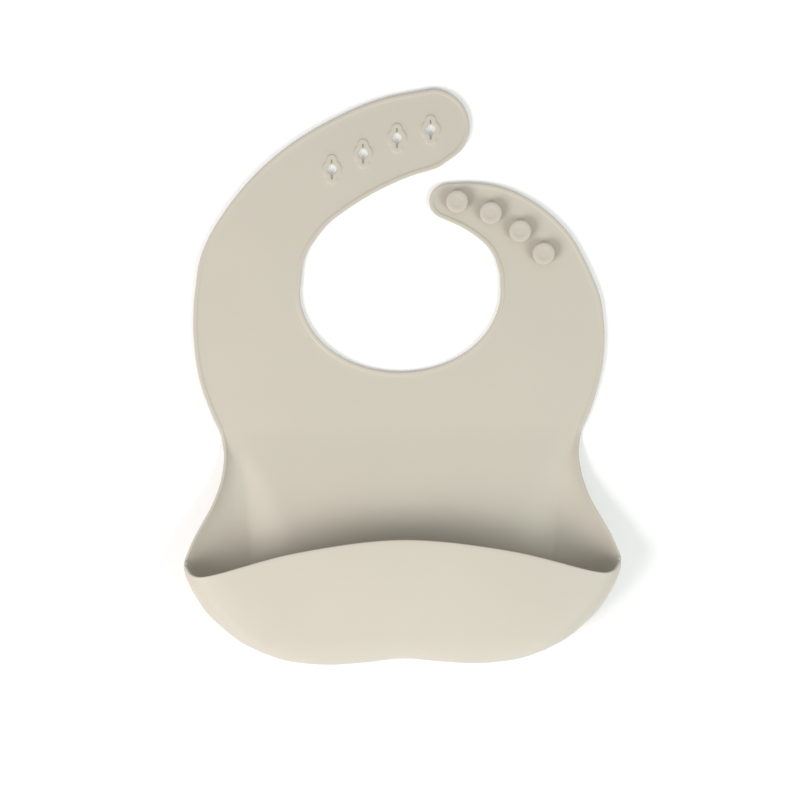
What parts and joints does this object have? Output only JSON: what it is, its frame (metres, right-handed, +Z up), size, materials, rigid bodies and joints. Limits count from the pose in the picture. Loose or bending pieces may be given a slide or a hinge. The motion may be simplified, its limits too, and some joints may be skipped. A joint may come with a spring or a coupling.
{
  "type": "silicone baby bib",
  "caption": "Soft moulded bib with a standing food-catching pocket and a neck strap that closes with studs in keyholes.",
  "frame": {"origin": "on the table plane, under the middle of the bib's outline", "axes": "+Z up from the table to the bib's front face, +Y from the pocket to the neck, +X to the right seen from above"},
  "size_m": [0.2282, 0.3011, 0.038],
  "materials": {
    "bib_silicone": "matte moulded silicone",
    "stud_silicone": "matte moulded silicone"
  },
  "bodies": {
    "back": {"lower_panel": "bib_silicone", "left_gusset": "bib_silicone", "right_gusset": "bib_silicone", "pocket_bottom": "bib_silicone"},
    "front_wall": {"pocket_front": "bib_silicone"},
    "chest": {"chest_panel": "bib_silicone"},
    "hole_shoulder": {"hole_strap_shoulder": "bib_silicone"},
    "hole_middle": {"hole_strap_middle": "bib_silicone"},
    "hole_tip": {"hole_strap_tip": "bib_silicone"},
    "button_shoulder": {"button_strap_shoulder": "bib_silicone", "button_3": "stud_silicone", "button_4": "stud_silicone"},
    "button_tip": {"button_strap_tip": "bib_silicone", "button_1": "stud_silicone", "button_2": "stud_silicone"}
  },
  "joints": [
    {"name": "pocket_flex", "type": "hinge", "parent": "back", "child": "front_wall", "pos_m": [0, -0.13731, 0.03012], "axis": [1, 0, 0], "range_deg": [-22, 28], "stiffness_Nm_per_rad": 0.03, "springref_deg": 1.15},
    {"name": "waist_fold", "type": "hinge", "parent": "back", "child": "chest", "pos_m": [0, -0.014, 0.0009], "axis": [1, 0, 0], "range_deg": [-60, 60], "stiffness_Nm_per_rad": 0.003},
    {"name": "hole_shoulder_bend", "type": "hinge", "parent": "chest", "child": "hole_shoulder", "pos_m": [-0.0799, 0.0448, 0.0009], "axis": [-1, 0, 0], "range_deg": [-50, 60], "stiffness_Nm_per_rad": 0.001},
    {"name": "hole_middle_bend", "type": "hinge", "parent": "hole_shoulder", "child": "hole_middle", "pos_m": [-0.05915, 0.0903, 0.0009], "axis": [-0.8059, 0.592, 0], "range_deg": [-45, 50], "stiffness_Nm_per_rad": 0.001},
    {"name": "hole_tip_bend", "type": "hinge", "parent": "hole_middle", "child": "hole_tip", "pos_m": [-0.0435, 0.1038, 0.0009], "axis": [-0.59, 0.8074, 0], "range_deg": [-45, 50], "stiffness_Nm_per_rad": 0.001},
    {"name": "button_shoulder_bend", "type": "hinge", "parent": "chest", "child": "button_shoulder", "pos_m": [0.07845, 0.0448, 0.0009], "axis": [-1, 0, 0], "range_deg": [-50, 60], "stiffness_Nm_per_rad": 0.001},
    {"name": "button_tip_bend", "type": "hinge", "parent": "button_shoulder", "child": "button_tip", "pos_m": [0.0564, 0.0802, 0.0009], "axis": [-0.5533, -0.833, 0], "range_deg": [-45, 50], "stiffness_Nm_per_rad": 0.001}
  ]
}
